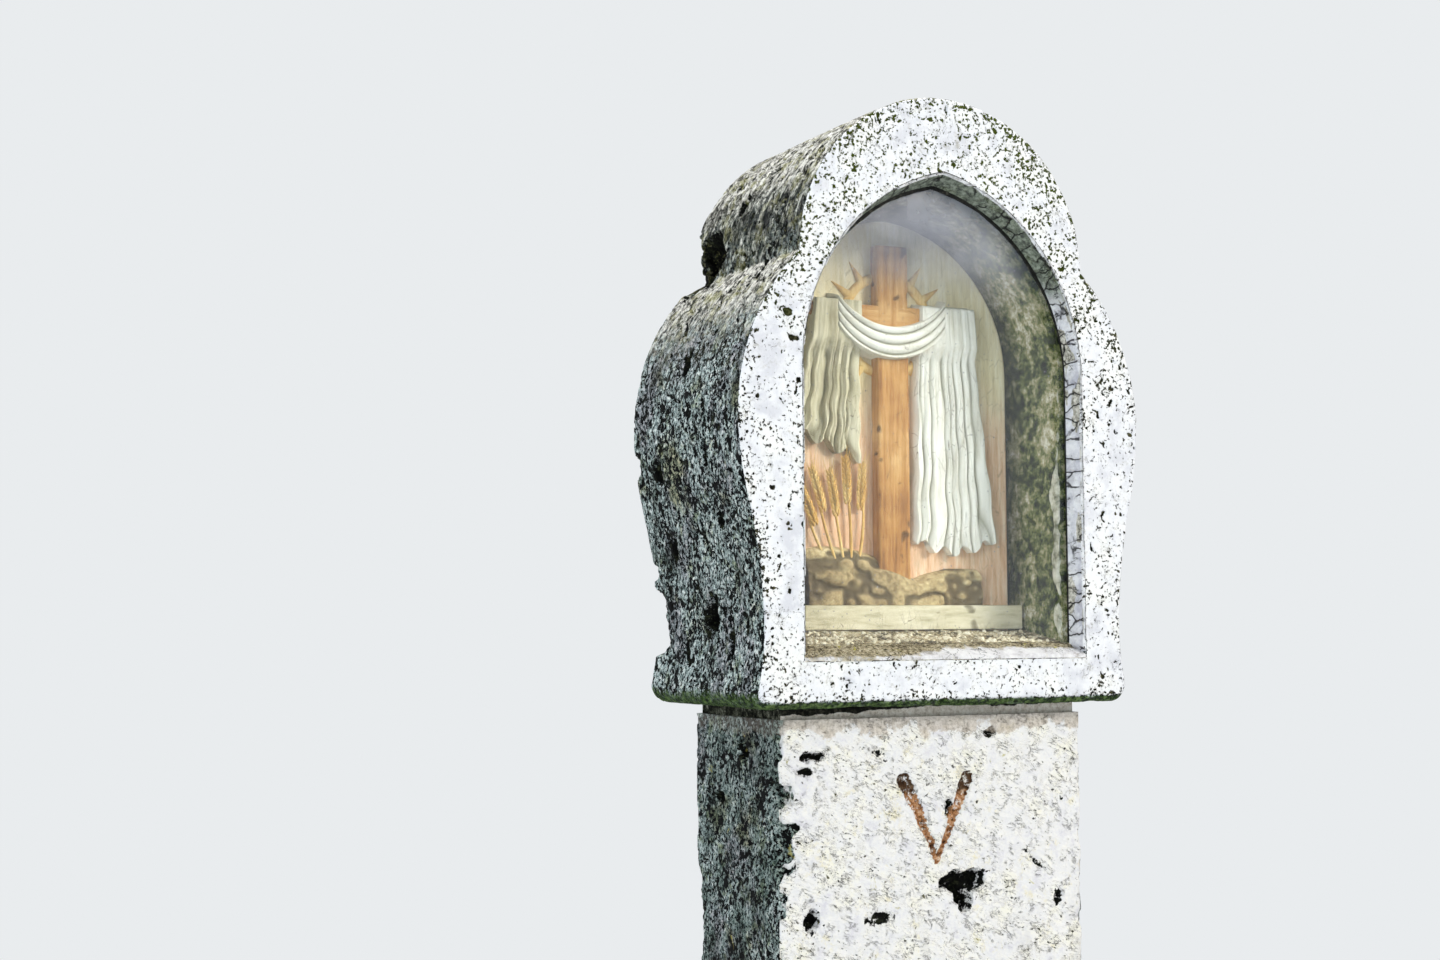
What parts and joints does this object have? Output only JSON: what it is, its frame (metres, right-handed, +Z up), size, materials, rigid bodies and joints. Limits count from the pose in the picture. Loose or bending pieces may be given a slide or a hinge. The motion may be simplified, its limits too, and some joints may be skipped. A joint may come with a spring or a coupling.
{
  "type": "wayside shrine",
  "caption": "Rough stone pillar carrying an overhanging bell-shaped head stone with a glazed pointed niche that holds a painted relief; it stands on a low foot stone.",
  "frame": {"origin": "centre of the foot stone's underside, on the ground", "axes": "+Z up, -Y out of the glazed front, +X to the right seen from the front"},
  "size_m": [0.543, 0.29, 2.2078],
  "materials": {
    "limewashed_tufa": "limewashed porous stone, blackened on the flanks",
    "pillar_tufa": "rough porous stone with worn limewash",
    "joint_mortar": "damp dark lime mortar",
    "sill_mortar": "rough limewashed mortar",
    "reveal_paint": "cracked matt paint on plaster",
    "seal": "matt",
    "pane": "clear, dusty",
    "wall_plaster": "flaking plaster",
    "floor_mortar": "gravelly mortar",
    "cream_paint": "old matt paint on carved wood",
    "olive_paint": "old matt paint on carved wood",
    "ochre_paint": "old matt paint on carved wood",
    "timber_paint": "old matt paint on carved wood",
    "cloth_paint": "old matt paint on carved wood"
  },
  "bodies": {
    "root": {"foot_stone": "pillar_tufa", "foot_joint": "joint_mortar", "pillar_stone": "pillar_tufa", "head_joint": "joint_mortar", "head_stone": "limewashed_tufa", "niche_sill": "sill_mortar", "reveal_coat": "reveal_paint", "glass_seal": "seal", "glass_pane": "pane", "niche_plaster": "wall_plaster", "niche_floor_bed": "floor_mortar", "relief_board": "cream_paint", "relief_ledge": "cream_paint", "relief_mound": "olive_paint", "relief_rays": "ochre_paint", "relief_cross": "timber_paint", "relief_cloth": "cloth_paint", "relief_wheat": "ochre_paint"}
  },
  "joints": []
}
